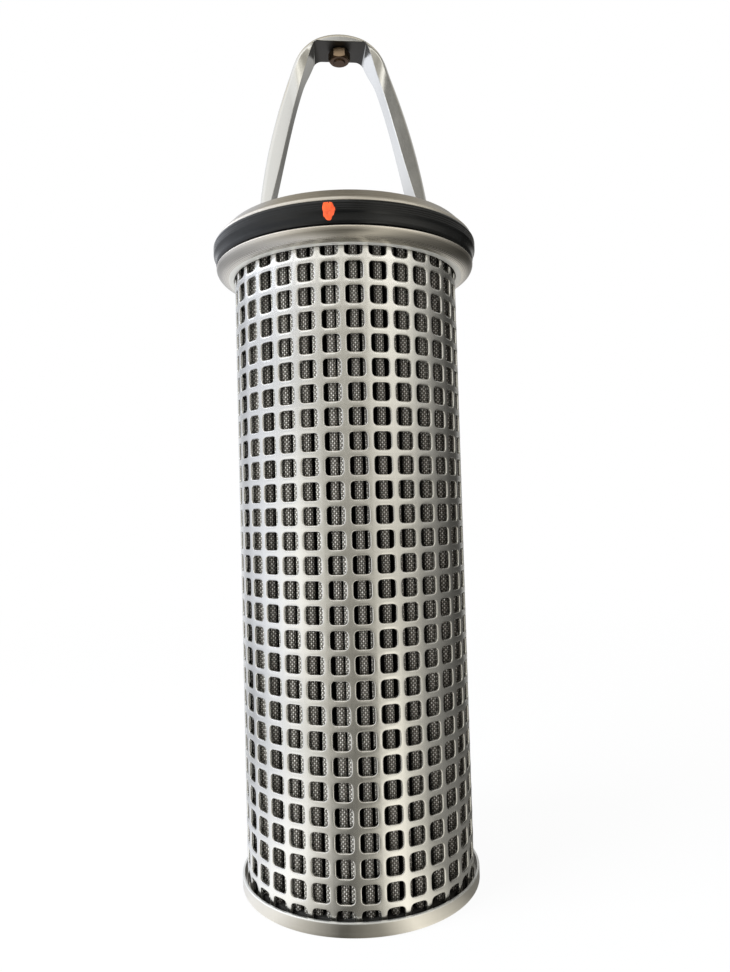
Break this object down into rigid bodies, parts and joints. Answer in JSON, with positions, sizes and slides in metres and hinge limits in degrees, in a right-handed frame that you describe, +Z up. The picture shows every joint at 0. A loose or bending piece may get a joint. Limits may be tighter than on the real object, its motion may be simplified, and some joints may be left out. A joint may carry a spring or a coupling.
{
  "type": "basket strainer",
  "caption": "Lift-out basket strainer: perforated jacket round a pleated mesh, with a flange, a rubber seal and a bail handle.",
  "frame": {"origin": "centre of the foot, on the plane that the strainer stands on", "axes": "+Z up along the strainer's axis, from the closed foot to the bail; the bail's loop lies in the XZ plane"},
  "size_m": [0.1346, 0.1346, 0.4312],
  "materials": {
    "turned_steel": "turned, satin",
    "satin_steel": "satin",
    "bail_steel": "polished, lightly worn",
    "coarse_mesh": "dull woven wire",
    "fine_mesh": "dull fine woven wire",
    "black_rubber": "satin black",
    "dark_resin": "matt",
    "bronze": "dull"
  },
  "bodies": {
    "root": {"top_flange": "turned_steel", "flange_seal": "black_rubber", "outer_jacket": "satin_steel", "support_mesh": "coarse_mesh", "filter_mesh": "fine_mesh", "upper_potting": "dark_resin", "lower_potting": "dark_resin", "bottom_cup": "satin_steel", "bail": "bail_steel", "crown_stud": "bronze", "crown_nut": "bronze"}
  },
  "joints": []
}
